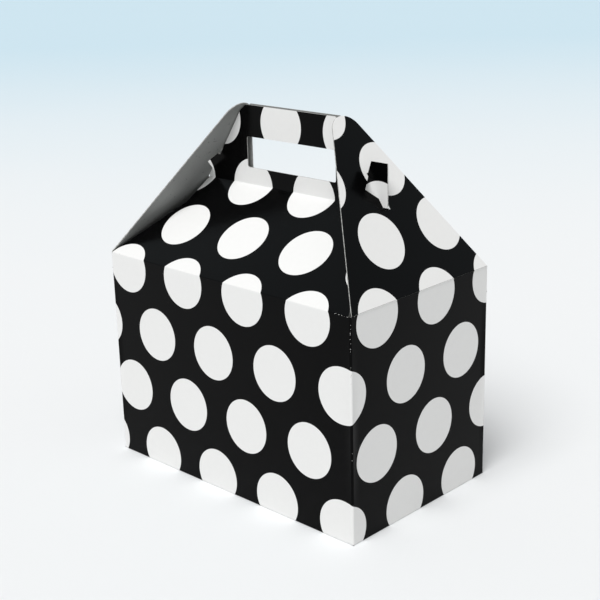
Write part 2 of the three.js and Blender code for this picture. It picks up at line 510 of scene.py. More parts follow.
@dataclass(frozen=True)
class GreyBoard:
    """The sheet's uncoated back: matt grey board with recycled fibres and dark flecks."""

    light: Colour = (0.36, 0.37, 0.36, 1.0)
    dark: Colour = (0.27, 0.275, 0.27, 1.0)
    cloud: Grain = Grain(60.0, 4.0, 0.6)
    fibre: Grain = Grain(900.0, 5.0, 0.7)
    fibre_share: float = 0.5
    fleck: Colour = (0.16, 0.16, 0.16, 1.0)
    fleck_grain: Grain = Grain(420.0, 1.0)
    fleck_range: tuple[float, float] = (0.70, 0.74)
    fleck_strength: float = 0.5
    relief_depth: float = 0.05 * MM
    relief_strength: float = 0.6
    roughness: float = 0.88
    specular: float = 0.2

    def material(self) -> bpy.types.Material:
        """Builds the grey back's material.

        Returns:
            The material.
        """
        graph = MaterialGraph("grey_board")
        place = graph.coordinates()
        cloud = graph.noise(place, self.cloud)
        fibre = graph.noise(place, self.fibre)
        fleck = graph.noise(place, self.fleck_grain).step(*self.fleck_range)
        pulp = cloud * (1 - self.fibre_share) + fibre * self.fibre_share
        tone = graph.mix(pulp, self.dark, self.light)
        return graph.finish({
            "Base Color": graph.mix(fleck * self.fleck_strength, tone, self.fleck),
            "Roughness": self.roughness,
            "Specular IOR Level": self.specular,
            "Normal": graph.bump(fibre, self.relief_depth, self.relief_strength),
        })


@dataclass(frozen=True)
class RawEdge:
    """The die-cut edge of the board: pale layers of fibre, slightly torn."""

    pale: Colour = (0.52, 0.52, 0.50, 1.0)
    dull: Colour = (0.25, 0.25, 0.24, 1.0)
    torn: Grain = Grain(700.0, 4.0, 0.7)
    torn_range: tuple[float, float] = (0.35, 0.65)
    relief_depth: float = 0.08 * MM
    relief_strength: float = 0.7
    roughness: float = 0.9
    specular: float = 0.2

    def material(self) -> bpy.types.Material:
        """Builds the raw edge's material.

        Returns:
            The material.
        """
        graph = MaterialGraph("raw_board_edge")
        torn = graph.noise(graph.coordinates(), self.torn)
        return graph.finish({
            "Base Color": graph.mix(torn.step(*self.torn_range), self.dull, self.pale),
            "Roughness": self.roughness,
            "Specular IOR Level": self.specular,
            "Normal": graph.bump(torn, self.relief_depth, self.relief_strength),
        })


@dataclass(frozen=True)
class ChippedPrint:
    """Bare white board where the print has flaked off along a fold."""

    white: Colour = (0.62, 0.62, 0.60, 1.0)
    worn: Colour = (0.34, 0.34, 0.33, 1.0)
    grain: Grain = Grain(1800.0, 3.0)
    roughness: float = 0.85
    specular: float = 0.2

    def material(self) -> bpy.types.Material:
        """Builds the chips' material.

        Returns:
            The material.
        """
        graph = MaterialGraph("chipped_print")
        grain = graph.noise(graph.coordinates(), self.grain)
        return graph.finish({
            "Base Color": graph.mix(grain, self.worn, self.white),
            "Roughness": self.roughness,
            "Specular IOR Level": self.specular,
        })


@dataclass(frozen=True)
class PlainFloor:
    """The plain pale floor, which turns a little blue between two distances behind the box."""

    near: Colour = (0.835, 0.845, 0.85, 1.0)
    far: Colour = (0.57, 0.72, 0.80, 1.0)
    distances: tuple[float, float] = (0.2, 2.6)
    cloud: Grain = Grain(3.0, 1.0)
    cloud_strength: float = 0.06
    roughness: float = 0.9
    specular: float = 0.1

    def material(self) -> bpy.types.Material:
        """Builds the floor's material.

        Returns:
            The material.
        """
        graph = MaterialGraph("plain_floor")
        place = graph.coordinates()
        x, y, _ = graph.axes(place)
        behind = (y - x) * math.sqrt(0.5)
        tone = graph.noise(place, self.cloud) * self.cloud_strength
        return graph.finish({
            "Base Color": graph.mix(behind.step(*self.distances) + tone, self.near, self.far),
            "Roughness": self.roughness,
            "Specular IOR Level": self.specular,
        })


@dataclass(frozen=True)
class Finishes:
    """The finished materials, by their use."""

    dotted: bpy.types.Material
    inside: bpy.types.Material
    edge: bpy.types.Material
    chip: bpy.types.Material
    floor: bpy.types.Material

    @classmethod
    def build(cls) -> "Finishes":
        """Builds each material once.

        Returns:
            The materials.
        """
        return cls(
            dotted=DottedPrint().material(),
            inside=GreyBoard().material(),
            edge=RawEdge().material(),
            chip=ChippedPrint().material(),
            floor=PlainFloor().material(),
        )


# Cutting and folding board


def add_object(name: str, data: bpy.types.ID) -> bpy.types.Object:
    """Adds an object to the scene.

    Args:
        name: The object's name.
        data: Its mesh, camera or lamp.

    Returns:
        The object.
    """
    thing = bpy.data.objects.new(name, data)
    bpy.context.scene.collection.objects.link(thing)
    return thing


def rounded_rectangle(centre: Point2, size: Point2, radius: float, steps: int = 6) -> list[Point2]:
    """Outline of a rectangle with rounded corners, anticlockwise.

    Args:
        centre: The middle.
        size: Width and height.
        radius: The corners' radius.
        steps: Steps on each corner.

    Returns:
        The outline's points.
    """
    points = []
    for quarter, (sx, sy) in enumerate(((1, 1), (-1, 1), (-1, -1), (1, -1))):
        cx = centre[0] + sx * (size[0] / 2 - radius)
        cy = centre[1] + sy * (size[1] / 2 - radius)
        for i in range(steps + 1):
            angle = math.pi / 2 * (quarter + i / steps)
            points.append((cx + radius * math.cos(angle), cy + radius * math.sin(angle)))
    return points


def sides(outline: Sequence[Point2]) -> Iterator[tuple[Point2, Point2]]:
    """The two ends of each side of a closed outline."""
    return zip(outline, [*outline[1:], outline[0]])


def inside(point: Point2, outline: Sequence[Point2]) -> bool:
    """Says whether a point lies within an outline.

    Args:
        point: The point.
        outline: The outline's points.

    Returns:
        True if it lies within.
    """
    x, y = point
    within = False
    for (x1, y1), (x2, y2) in sides(outline):
        if (y1 > y) != (y2 > y) and x < (x2 - x1) * (y - y1) / (y2 - y1) + x1:
            within = not within
    return within


def levels(low: float, high: float, step: float) -> list[float]:
    """Evenly spaced values.

    Args:
        low: The first value.
        high: The last value.
        step: How far apart they may be.

    Returns:
        The values from low to high.
    """
    count = max(1, math.ceil((high - low) / step))
    return [low + (high - low) * i / count for i in range(count + 1)]


@dataclass
class CutBoard:
    """A flat piece of board: an outline with holes, in the sheet's own coordinates.

    No crossing of a row and a column counts within edge_margin of an edge, so no slivers form
    there. Points closer than weld are one. A side whose run along an axis is below least_run
    crosses none of that axis' lines, and least_share is the shortest part that a side is cut into.
    """

    outline: list[Point2]
    holes: list[list[Point2]]
    columns: list[float]
    rows: list[float]
    edge_margin: float = 0.15 * MM
    weld: float = 1e-7
    least_run: float = 1e-9
    least_share: float = 1e-3

    def triangles(self) -> tuple[list[Vector], list[tuple[int, int, int]]]:
        """Cuts the piece into small triangles that follow its rows and columns.

        Returns:
            The points and the triangles between them.
        """
        points: list[Vector] = []
        edges: list[tuple[int, int]] = []
        for loop in [self.outline, *self.holes]:
            start = len(points)
            dense = self._dense(loop)
            points.extend(Vector(point) for point in dense)
            edges.extend((start + i, start + (i + 1) % len(dense)) for i in range(len(dense)))
        segments = [side for loop in [self.outline, *self.holes] for side in sides(loop)]
        for u in self.columns:
            for v in self.rows:
                if self._on_board((u, v)) and not self._near_edge((u, v), segments):
                    points.append(Vector((u, v)))
        result = delaunay_2d_cdt(points, edges, [], 0, self.weld)
        kept = []
        for face in result[2]:
            corners = [result[0][i] for i in face]
            centre = (sum(c.x for c in corners) / 3, sum(c.y for c in corners) / 3)
            if self._on_board(centre):
                kept.append(tuple(face))
        return list(result[0]), kept

    def _dense(self, loop: Sequence[Point2]) -> list[Point2]:
        """Adds points to an outline where it crosses the rows and columns.

        Args:
            loop: The outline's points.

        Returns:
            The points with the new ones between them.
        """
        dense: list[Point2] = []
        least = self.least_share
        for a, b in sides(loop):
            cuts = {0.0}
            for axis, values in ((0, self.columns), (1, self.rows)):
                run = b[axis] - a[axis]
                if abs(run) > self.least_run:
                    shares = ((value - a[axis]) / run for value in values)
                    cuts.update(share for share in shares if least < share < 1 - least)
            previous = -1.0
            for cut in sorted(cuts):
                if cut - previous > least:
                    dense.append((a[0] + (b[0] - a[0]) * cut, a[1] + (b[1] - a[1]) * cut))
                    previous = cut
        return dense

    def _near_edge(self, point: Point2, segments: Sequence[tuple[Point2, Point2]]) -> bool:
        """Says whether a point lies within the margin of an edge.

        Args:
            point: The point.
            segments: The edges' ends.

        Returns:
            True if it lies within the margin.
        """
        for (x1, y1), (x2, y2) in segments:
            dx, dy = x2 - x1, y2 - y1
            square = max(dx * dx + dy * dy, self.least_run ** 2)
            along = min(1.0, max(0.0, ((point[0] - x1) * dx + (point[1] - y1) * dy) / square))
            if math.hypot(point[0] - x1 - along * dx, point[1] - y1 - along * dy) < self.edge_margin:
                return True
        return False

    def _on_board(self, point: Point2) -> bool:
        """True if a point lies on the board and in none of its holes."""
        return inside(point, self.outline) and not any(inside(point, hole) for hole in self.holes)


@dataclass
class FoldedLine:
    """A line of straight runs with rounded folds, measured by its length along the sheet.

    The length is 0 at the corner with the foot's number. A fold takes up no more than
    longest_reach of the run on either side of it.
    """

    corners: list[Point2]
    foot: int
    radius: float
    longest_reach: float = 0.45
    fold_steps: int = 6

    def __post_init__(self) -> None:
        """Works out where each corner lies along the sheet, with 0 at the foot's corner."""
        places = [0.0]
        for a, b in zip(self.corners, self.corners[1:]):
            places.append(places[-1] + math.hypot(b[0] - a[0], b[1] - a[1]))
        self.places = [place - places[self.foot] for place in places]
        self.reaches = [0.0] * len(self.corners)
        for i in range(1, len(self.corners) - 1):
            before = Vector(self.corners[i - 1]) - Vector(self.corners[i])
            after = Vector(self.corners[i + 1]) - Vector(self.corners[i])
            reach = self.radius / math.tan(before.angle(after) / 2)
            longest = self.longest_reach * min(before.length, after.length)
            self.reaches[i] = min(reach, longest)

    def at(self, place: float) -> Vector:
        """Finds the point at a place along the sheet.

        Args:
            place: The place.

        Returns:
            The point: its distance from the middle of the box and its height.
        """
        for i in range(1, len(self.corners) - 1):
            reach = self.reaches[i]
            if abs(place - self.places[i]) < reach:
                share = (place - self.places[i] + reach) / (2 * reach)
                start = self._straight(self.places[i] - reach)
                end = self._straight(self.places[i] + reach)
                corner = Vector(self.corners[i])
                return start.lerp(corner, share).lerp(corner.lerp(end, share), share)
        return self._straight(place)

    def _straight(self, place: float) -> Vector:
        """Finds a point on the line before its folds are rounded.

        Args:
            place: The place along the sheet.

        Returns:
            The point.
        """
        last = len(self.corners) - 1
        i = next((k for k in range(1, last) if place <= self.places[k]), last)
        share = (place - self.places[i - 1]) / (self.places[i] - self.places[i - 1])
        return Vector(self.corners[i - 1]).lerp(Vector(self.corners[i]), share)

    def rows(self, spacing: float) -> list[float]:
        """Places rows for the mesh, evenly on the flats and close together on the folds.

        Args:
            spacing: How far apart they may be on the flats.

        Returns:
            The rows' places along the sheet.
        """
        rows: list[float] = []
        low = self.places[0]
        for place, reach in zip(self.places[1:], self.reaches[1:]):
            rows.extend(levels(low, place - reach, spacing))
            if reach:
                steps = range(1, self.fold_steps)
                rows.extend(place - reach + 2 * reach * k / self.fold_steps for k in steps)
            low = place + reach
        return rows


Fold = Callable[[float, float], Vector]

NORMAL_STEP = 0.02 * MM


def fold_normal(fold: Fold, u: float, v: float) -> Vector:
    """The way a folded sheet's printed face looks at a point.

    Args:
        fold: The fold.
        u: Place along the sheet.
        v: Place up the sheet.

    Returns:
        The unit normal.
    """
    along = fold(u + NORMAL_STEP, v) - fold(u - NORMAL_STEP, v)
    up = fold(u, v + NORMAL_STEP) - fold(u, v - NORMAL_STEP)
    return along.cross(up).normalized()


def fold_board(
    name: str, board: CutBoard, fold: Fold, thickness: float, finishes: Finishes
) -> bpy.types.Object:
    """Cuts a piece of board, folds it and gives it its thickness, grey back and raw edges.

    The flat coordinates stay on the mesh as its UV map, so the print runs on over the folds.

    Args:
        name: The object's name.
        board: The flat piece, with its printed face towards the reader.
        fold: Gives the place in the box of a point on the sheet.
        thickness: The board's thickness.
        finishes: The materials.

    Returns:
        The folded piece.
    """
    points, faces = board.triangles()
    count = len(points)
    normals = [fold_normal(fold, point.x, point.y) for point in points]
    outer = [fold(point.x, point.y) for point in points]
    inner = [place - normal * thickness for place, normal in zip(outer, normals)]
    for place in inner:
        # The tight folds at the foot of the walls would else reach a little under the ground.
        place.z = max(place.z, 0.0)
    # A side that only one triangle has lies on the rim, and gets a raw edge of its own.
    directed = {(face[i], face[(i + 1) % 3]) for face in faces for i in range(3)}
    rim = [(b, a, a + count, b + count) for a, b in directed if (b, a) not in directed]
    backs = [tuple(corner + count for corner in reversed(face)) for face in faces]
    mesh = bpy.data.meshes.new(name)
    mesh.from_pydata(outer + inner, [], [*faces, *backs, *rim])
    for material in (finishes.dotted, finishes.inside, finishes.edge):
        mesh.materials.append(material)
    slots = [Face.PRINT] * len(faces) + [Face.INSIDE] * len(backs) + [Face.EDGE] * len(rim)
    uv = mesh.uv_layers.new(name="sheet")
    turned: list[Vector] = []
    for polygon, slot in zip(mesh.polygons, slots):
        polygon.material_index = slot.value
        for index in polygon.loop_indices:
            vertex = mesh.loops[index].vertex_index % count
            uv.data[index].uv = points[vertex]
            normal = {Face.PRINT: normals[vertex], Face.INSIDE: -normals[vertex]}
            turned.append(normal.get(slot, polygon.normal.copy()))
    mesh.shade_smooth()
    mesh.normals_split_custom_set(turned)
    return add_object(name, mesh)


# The box


@dataclass
class CartonSheet:
    """The one folded sheet of the box without its end flaps.

    It runs from the glued strip over the left, front and right walls to the back wall. Place 0
    along the sheet is the front wall's left corner, and place 0 up the sheet is the ground.
    """

    sizes: BoxSizes
    grid: float = 5.0 * MM
    least_row: float = 0.08 * MM
    corner_steps: int = 4
    order: tuple[Wall, ...] = (Wall.LEFT, Wall.FRONT, Wall.RIGHT, Wall.BACK)

    def wall_start(self, wall: Wall) -> float:
        """Where a wall begins along the sheet."""
        s = self.sizes
        return (0.0, s.length, s.length + s.width, -s.width)[wall.value]

    def wall_span(self, wall: Wall) -> float:
        """How long a wall is along the sheet."""
        return self.sizes.width if wall.is_end else self.sizes.length

    def wall_middle(self, wall: Wall) -> float:
        """Where the middle of a wall lies along the sheet."""
        return self.wall_start(wall) + self.wall_span(wall) / 2

    def wall_depth(self, wall: Wall) -> float:
        """How far a wall stands from the middle of the box."""
        return (self.sizes.length if wall.is_end else self.sizes.width) / 2

    @staticmethod
    def place(wall: Wall, along: float, out: float, height: float) -> Vector:
        """A point given along a wall, out of the box and up.

        Args:
            wall: The wall.
            along: Distance from the wall's middle, to the right seen from outside.
            out: Distance from the middle of the box.
            height: Height over the ground.

        Returns:
            The point in the row frame.
        """
        angle = math.pi / 2 * wall.value
        x, y = math.cos(angle), math.sin(angle)
        return Vector((x * along + y * out, y * along - x * out, height))

    def profile(self, wall: Wall) -> FoldedLine:
        """Draws the sheet's line from the tip of a bottom flap up its wall to the top of the board.

        Each layer of the bottom lies on the one below it, a lift higher.

        Args:
            wall: The wall.

        Returns:
            The line, as distance from the middle of the box and height.
        """
        s = self.sizes
        lift = s.board - s.bottom_lap
        depth = self.wall_depth(wall)
        step = depth - 2 * lift
        if wall.is_end:
            foot = [(step - s.side_flap_length, lift), (step, lift), (depth, 0.0)]
            return FoldedLine([*foot, (depth, s.wall_height + s.clearance)], 2, s.crease_radius)
        handle = s.handle_y(wall) if wall is Wall.BACK else -s.handle_y(wall)
        roof = [(depth, s.wall_height), (handle, s.crease_height), (handle, s.top_height)]
        if wall is Wall.BACK:
            foot = [(step - s.width, 2 * lift), (step, 2 * lift), (depth, 0.0)]
            return FoldedLine([*foot, *roof], 2, s.crease_radius)
        ramp = s.board - s.bottom_overlap
        tongue = ramp - s.tongue_ramp
        foot = [(tongue - s.tongue_length, 3 * lift), (tongue, 3 * lift), (ramp, 0.0), (depth, 0.0)]
        return FoldedLine([*foot, *roof], 3, s.crease_radius)

    def roof_outline(self, wall: Wall, side: Side) -> list[Point2]:
        """Draws half the outline of a roof panel with its handle panel.

        Args:
            wall: The front or back wall.
            side: The end of the box, as the left ears stand a little lower.

        Returns:
            The points from the wall up to the handle's top, as distance from the middle and place
            up the sheet.
        """
        s = self.sizes
        eaves, crease = self.profile(wall).places[-3:-1]
        shortening = s.back_ear_shortening if wall is Wall.BACK else 0.0
        ear_bottom = s.crease_height + s.ear_lift
        ear_top = s.crease_height + s.ear_top_lift - shortening / 2
        if side is Side.LEFT:
            ear_top -= s.left_ear_drop
        reach = s.length / 2 - s.ear_inset - shortening
        roof_x = s.flap_inner_x(s.crease_height) - s.roof_setback
        slant_top = s.top_height - s.chamfer_drop
        notch = ear_top - s.notch_depth

        def edge(height: float) -> float:
            """The slanted handle edge at a height."""
            return s.flap_inner_x(height) - s.handle_setback

        def up(height: float) -> float:
            """The place up the sheet of a height on the roof or handle.

            Args:
                height: The height.

            Returns:
                The place.
            """
            if height <= s.crease_height:
                share = (height - s.wall_height) / s.roof_rise
                return eaves + share * (crease - eaves)
            return crease + height - s.crease_height

        corners = [
            (s.length / 2 - s.corner_radius, s.wall_height),
            (s.length / 2 - s.roof_shoulder_inset, s.wall_height + s.roof_shoulder_rise),
            (roof_x, s.crease_height),
            (roof_x, ear_bottom),
            (reach, ear_bottom),
            (reach, ear_top),
            (reach - s.hook_width + shortening, ear_top),
            (edge(notch) + s.notch_width, notch),
            (edge(notch), notch),
            (edge(slant_top), slant_top),
            (edge(slant_top) - s.chamfer_run, s.top_height),
        ]
        return [(x, up(height)) for x, height in corners]

    def bottom_outline(self, wall: Wall) -> list[Point2]:
        """Draws half a bottom flap's outline, from the wall outwards.

        Args:
            wall: The wall that the flap hangs on.

        Returns:
            The points, as distance from the middle and place up the sheet.
        """
        s = self.sizes
        half = s.width / 2
        if wall.is_end:
            y = half - s.bottom_inset
            return [(y, 0.0), (y - s.side_flap_taper, -s.side_flap_length)]
        x = s.length / 2 - s.bottom_inset
        shoulder_x = x - s.bottom_shoulder / 2
        end = half + s.bottom_overlap
        tongue_x = s.tongue_width / 2
        outline = [(x, 0.0), (x, s.bottom_shoulder - half), (shoulder_x, -half), (shoulder_x, -end)]
        if wall is Wall.FRONT:
            tongue_end = end - s.board + s.tongue_ramp + s.tongue_length
            return [*outline, (tongue_x, -end), (tongue_x, -tongue_end)]
        cut_x = tongue_x + s.tongue_side_gap
        cut_start = half - s.bottom_overlap - s.tongue_ramp + s.board
        return [*outline, (cut_x, -end), (cut_x, -cut_start)]

    def sheet_fold(self) -> Fold:
        """Makes the fold that wraps the sheet round the box and lays its panels in.

        Returns:
            The fold.
        """
        s = self.sizes
        lines = {wall: self.profile(wall) for wall in Wall}
        radius = s.corner_radius
        half_corner = math.pi / 4

        def fold(u: float, v: float) -> Vector:
            """Finds the folded place of a point on the sheet.

            Args:
                u: Place along the sheet.
                v: Place up the sheet.

            Returns:
                The point in the row frame.
            """
            wall = next((w for w in reversed(self.order) if u >= self.wall_start(w)), Wall.LEFT)
            rim = self.wall_span(wall) / 2 - radius
            along = u - self.wall_middle(wall)
            out, height = lines[wall].at(v)
            if wall is Wall.LEFT and along < -rim:
                return self._strip_place(-rim - along, rim, v)
            # The back wall ends flat at its outer end, where it's glued over the strip.
            flat = rim + 2 * radius if wall is Wall.BACK and along >= 0 else rim
            if abs(along) <= flat:
                return self.place(wall, along, out - self.bow(wall, along, v), height)
            angle = (abs(along) - rim) / radius * half_corner
            side = math.copysign(rim + radius * math.sin(angle), along)
            return self.place(wall, side, out - radius * (1 - math.cos(angle)), height)

        return fold

    def bow(self, wall: Wall, along: float, v: float) -> float:
        """Says how far a wall sinks in at a point, as the board isn't quite flat.

        Args:
            wall: The wall.
            along: Distance from the wall's middle.
            v: Place up the sheet.

        Returns:
            The distance inwards.
        """
        s = self.sizes
        if not 0.0 < v < s.wall_height:
            return 0.0
        across = max(0.0, 1 - (2 * along / self.wall_span(wall)) ** 2)
        return s.bow * across * math.sin(math.pi * v / s.wall_height) ** 2

    def _strip_place(self, past: float, rim: float, v: float) -> Vector:
        """The place of a point on the glued strip, which turns in behind the back wall.

        Args:
            past: Distance past the start of the fold.
            rim: Where the fold starts along the left wall.
            v: Place up the sheet.

        Returns:
            The point in the row frame.
        """
        s = self.sizes
        radius = s.corner_radius - s.board
        start = s.width / 2 - s.board - radius
        flat = start - rim
        if past <= flat:
            return self.place(Wall.LEFT, -rim - past, s.length / 2, v)
        angle = min((past - flat) / radius, math.pi / 2)
        rest = max(0.0, past - flat - radius * math.pi / 2)
        out = s.length / 2 - radius * (1 - math.cos(angle)) - rest
        return self.place(Wall.LEFT, -start - radius * math.sin(angle), out, v)

    def outline(self) -> list[Point2]:
        """Draws the whole sheet's outline, anticlockwise with the print towards the reader.

        Returns:
            The outline's points.
        """
        s = self.sizes
        low_top = s.wall_height - s.hinge_gap
        strip = -s.width - s.seam_width
        edge_u = 2 * s.length + s.width - s.seam_edge
        outline: list[Point2] = [
            (strip, 2 * s.seam_inset), (-s.width, s.seam_inset), (-s.width + s.corner_radius, 0.0)]
        for wall in self.order:
            middle = self.wall_middle(wall)
            half = self.bottom_outline(wall)
            outline += [(middle - x, v) for x, v in half]
            outline += [(middle + x, v) for x, v in reversed(half)]
        outline += [(edge_u, 0.0), (edge_u, s.wall_height - s.crease_radius)]
        for wall in reversed(self.order):
            middle = self.wall_middle(wall)
            if wall.is_end:
                rim = self.wall_span(wall) / 2 - s.corner_radius
                outline += [(middle + rim, low_top), (middle - rim, low_top)]
                continue
            ends = (Side.RIGHT, Side.LEFT) if wall is Wall.FRONT else (Side.LEFT, Side.RIGHT)
            outline += [(middle + x, v) for x, v in self.roof_outline(wall, ends[0])]
            outline += [(middle - x, v) for x, v in reversed(self.roof_outline(wall, ends[1]))]
        strip_top = s.wall_height - s.seam_inset
        outline += [(-s.width, strip_top), (strip, strip_top - s.seam_inset)]
        return outline

    def rows(self) -> list[float]:
        """Collects the rows of the front and back walls' lines, none too close to the next.

        Returns:
            The rows' places up the sheet.
        """
        lines = [self.profile(wall) for wall in (Wall.FRONT, Wall.BACK)]
        rows = {round(row, 6) for line in lines for row in line.rows(self.grid)}
        kept: list[float] = []
        for row in sorted(rows):
            if not kept or row - kept[-1] > self.least_row:
                kept.append(row)
        return kept

    def columns(self) -> list[float]:
        """Places columns for the mesh, evenly on the walls and close together on the corners.

        Returns:
            The columns' places along the sheet.
        """
        s = self.sizes
        radius = s.corner_radius
        steps = self.corner_steps
        columns = levels(-s.width - s.seam_width, -s.width - radius, self.grid)
        columns.extend(-s.width + radius * k / steps for k in range(1 - steps, 0))
        for wall in self.order:
            start = self.wall_start(wall)
            end = start + self.wall_span(wall)
            columns.extend(start + radius * k / steps for k in range(steps))
            columns.extend(levels(start + radius, end - radius, self.grid))
            columns.extend(end - radius * k / steps for k in range(steps - 1, 0, -1))
        return columns

    def build(self, finishes: Finishes) -> bpy.types.Object:
        """Cuts and folds the sheet and lets it stand for the CAD body.

        Args:
            finishes: The materials.

        Returns:
            The finished piece.
        """
        s = self.sizes
        holes = []
        for wall in (Wall.FRONT, Wall.BACK):
            crease = self.profile(wall).places[-2]
            drop = s.back_hole_drop if wall is Wall.BACK else 0.0
            centre = (self.wall_middle(wall), crease + s.hole_lift + (s.hole_height - drop) / 2)
            size = (s.hole_length, s.hole_height + drop)
            holes.append(rounded_rectangle(centre, size, s.hole_radius))
        board = CutBoard(self.outline(), holes, self.columns(), self.rows())
        piece = fold_board("folded_carton_board", board, self.sheet_fold(), s.board, finishes)
        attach(piece, "carton")
        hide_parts("carton_body")
        return piece


@dataclass
class EndFlap:
    """One end flap, leaning in over the handle's ears."""

    sizes: BoxSizes
    side: Side
    grid: float = 3.0 * MM
    tip_steps: int = 20

    def outline(self) -> list[Point2]:
        """Draws the flap's outline, anticlockwise.

        Returns:
            The points, as place across the flap and along it from the hinge.
        """
        s = self.sizes
        base = s.width / 2 - s.board - s.clearance
        centre = s.flap_length - s.flap_tip_radius
        run = centre - s.clearance
        angle = math.atan2(base, run) - math.asin(s.flap_tip_radius / math.hypot(base, run))
        points = [(-base, s.clearance), (base, s.clearance)]
        for i in range(self.tip_steps + 1):
            turn = angle + (math.pi - 2 * angle) * i / self.tip_steps
            x, y = s.flap_tip_radius * math.cos(turn), s.flap_tip_radius * math.sin(turn)
            points.append((x, centre + y))
        return points

    def slot(self) -> list[Point2]:
        """Draws the slot for the ears, with its window.

        Returns:
            The points, as depth in the box and place along the flap.
        """
        s = self.sizes
        ear_x = s.length / 2 - s.ear_inset
        low = math.hypot(s.hinge_x - ear_x, s.roof_rise + s.ear_lift) - s.clearance
        front = s.handle_y(Wall.FRONT) - s.clearance
        back = s.handle_y(Wall.BACK) + s.clearance
        return [
            (front, low),
            (back, low),
            (back, s.slot_head),
            (front, s.slot_head),
            (front, s.window_centre + s.window_depth),
            (front - s.window_depth, s.window_centre),
            (front, s.window_centre - s.window_depth),
        ]

    def build(self, finishes: Finishes) -> bpy.types.Object:
        """Builds the flap and lets it stand for its CAD node.

        Args:
            finishes: The materials.

        Returns:
            The finished piece.
        """
        s = self.sizes
        hand = self.side.value
        end = self.side.name.lower()
        middle = CartonSheet(s).wall_middle(Wall[self.side.name])

        def fold(u: float, v: float) -> Vector:
            """Finds the folded place of a point on the flap.

            Args:
                u: Place along the sheet.
                v: Place up the sheet.

            Returns:
                The point in the row frame.
            """
            reach = v - s.wall_height
            x = hand * (s.hinge_x - reach * math.sin(s.flap_lean))
            return Vector((x, hand * (u - middle), s.wall_height + reach * math.cos(s.flap_lean)))

        outline = [(middle + across, s.wall_height + reach) for across, reach in self.outline()]
        slot = [(middle + hand * depth, s.wall_height + reach) for depth, reach in self.slot()]
        columns = levels(middle - s.width / 2, middle + s.width / 2, self.grid)
        rows = levels(s.wall_height, s.wall_height + s.flap_length, self.grid)
        board = CutBoard(outline, [slot], columns, rows)
        piece = fold_board(f"{end}_flap_board", board, fold, s.board, finishes)
        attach(piece, f"{end}_flap")
        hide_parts(f"{end}_end_flap")
        return piece


# Folds: the bead over each end crease and the wear along the folds


class ShapeGraph(Graph):
    """A Geometry Nodes tree whose last steps are Realize Instances and Set Material."""

    def __init__(self, name: str, numbers: dict[str, float | int]) -> None:
        """Makes the tree with its named inputs.

        Args:
            name: The tree's name.
            numbers: Its number inputs with their values.
        """
        super().__init__(bpy.data.node_groups.new(name, "GeometryNodeTree"))
        face = self.tree.interface
        face.new_socket("Path", in_out="INPUT", socket_type="NodeSocketGeometry")
        for label, value in numbers.items():
            kind = "NodeSocketInt" if isinstance(value, int) else "NodeSocketFloat"
            face.new_socket(label, in_out="INPUT", socket_type=kind).default_value = value
        face.new_socket("Finish", in_out="INPUT", socket_type="NodeSocketMaterial")
        face.new_socket("Shape", in_out="OUTPUT", socket_type="NodeSocketGeometry")
        self.start = self.tree.nodes.new("NodeGroupInput")

    def given(self, label: str) -> Socket:
        """One of the tree's named inputs."""
        return Socket(self, self.start.outputs[label])

    def curve(self) -> Socket:
        """The tree's path as a curve."""
        return self.add("GeometryNodeMeshToCurve", None, {"Mesh": self.given("Path")})

    def scaled(self, vector: Socket, factor: Socket) -> Socket:
        """A vector times a number."""
        inputs = {"Vector": vector, "Scale": factor}
        return self.add("ShaderNodeVectorMath", {"operation": "SCALE"}, inputs)

    def random(self, kind: str, inputs: dict[str | int, object], output: int) -> Socket:
        """A random value at each point.

        Args:
            kind: The value's data type.
            inputs: The range or probability and the seed.
            output: The number of the output that has this type.

        Returns:
            The value.
        """
        return self.add("FunctionNodeRandomValue", {"data_type": kind}, inputs, output)

    def end(self, shape: Socket) -> None:
        """Ends the tree.

        Args:
            shape: The finished shape.
        """
        real = self.add("GeometryNodeRealizeInstances", None, {"Geometry": shape})
        inputs = {"Geometry": real, "Material": self.given("Finish")}
        self.close("NodeGroupOutput", "Shape", self.add("GeometryNodeSetMaterial", None, inputs))

    def run(
        self, name: str, paths: Sequence[Sequence[Vector]], values: dict[str, object]
    ) -> bpy.types.Object:
        """Runs the tree on some paths and returns the plain result.

        Args:
            name: The finished object's name.
            paths: Each path's points.
            values: Values for the named inputs.

        Returns:
            The finished object, with no modifier left.
        """
        points = [point for path in paths for point in path]
        edges = []
        start = 0
        for path in paths:
            edges.extend((start + i, start + i + 1) for i in range(len(path) - 1))
            start += len(path)
        mesh = bpy.data.meshes.new(f"{name}_path")
        mesh.from_pydata(points, edges, [])
        piece = add_object(name, mesh)
        modifier = piece.modifiers.new("shape", "NODES")
        modifier.node_group = self.tree
        for item in self.tree.interface.items_tree:
            if item.in_out == "INPUT" and item.name in values:
                modifier[item.identifier] = values[item.name]
        graph = bpy.context.evaluated_depsgraph_get()
        result = bpy.data.meshes.new_from_object(
            piece.evaluated_get(graph), preserve_all_data_layers=True, depsgraph=graph)
        piece.modifiers.clear()
        piece.data = result
        bpy.data.meshes.remove(mesh)
        return piece


